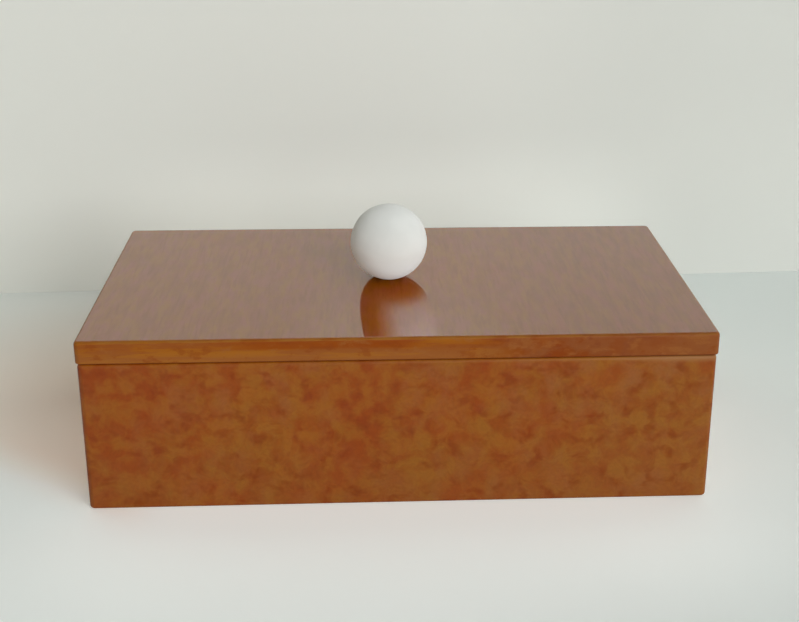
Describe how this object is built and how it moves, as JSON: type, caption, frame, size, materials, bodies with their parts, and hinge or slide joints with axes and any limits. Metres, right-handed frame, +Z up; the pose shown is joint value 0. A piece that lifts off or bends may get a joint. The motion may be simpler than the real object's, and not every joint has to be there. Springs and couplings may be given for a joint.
{
  "type": "lidded watercolour box",
  "caption": "Lacquered wooden watercolour box with a lift-off lid, a white ball knob, a lift-out tray with lanes for paint pans and brushes, and a divided store under it.",
  "frame": {"origin": "on the table, under the middle of the lid's rectangle", "axes": "+X along the box's length to the right, +Y from the front to the back, +Z up out of the lid"},
  "size_m": [0.267, 0.152, 0.1114],
  "materials": {
    "lacquered_burl": "mottled orange-brown burl under a glossy lacquer",
    "inner_wood": "plain pale hardwood, sanded and lightly waxed",
    "ply_panel": "birch plywood, sanded",
    "white_paint": "turned beech ball under matt white paint",
    "insert_brass": "turned brass",
    "zinc_steel": "zinc-plated steel"
  },
  "bodies": {
    "case": {"front_wall": "lacquered_burl", "back_wall": "lacquered_burl", "left_wall": "lacquered_burl", "right_wall": "lacquered_burl", "corner_tongues": "inner_wood", "bottom_panel": "ply_panel", "liner_front": "inner_wood", "liner_back": "inner_wood", "liner_left": "inner_wood", "liner_right": "inner_wood", "store_divider_long": "inner_wood", "store_divider_left": "inner_wood", "store_divider_right": "inner_wood"},
    "tray": {"tray_front": "inner_wood", "tray_back": "inner_wood", "tray_left": "inner_wood", "tray_right": "inner_wood", "tray_base": "ply_panel", "tray_handle_divider": "inner_wood", "lane_divider_front": "inner_wood", "lane_divider_back": "inner_wood", "pan_partition_front_left": "inner_wood", "pan_partition_front_right": "inner_wood", "pan_partition_middle_left": "inner_wood", "pan_partition_middle_right": "inner_wood", "pan_partition_back_left": "inner_wood", "pan_partition_back_right": "inner_wood"},
    "lid": {"lid_board": "lacquered_burl", "lid_batten_front": "inner_wood", "lid_batten_back": "inner_wood", "lid_batten_left": "inner_wood", "lid_batten_right": "inner_wood", "knob_ball": "white_paint", "knob_insert": "insert_brass", "knob_screw": "zinc_steel", "knob_washer": "zinc_steel"}
  },
  "joints": [
    {"name": "tray_lift", "type": "slide", "parent": "case", "child": "tray", "axis": [0, 0, 1], "range_m": [0, 0.08]},
    {"name": "lid_lift", "type": "slide", "parent": "tray", "child": "lid", "axis": [0, 0, 1], "range_m": [0, 0.12]}
  ]
}
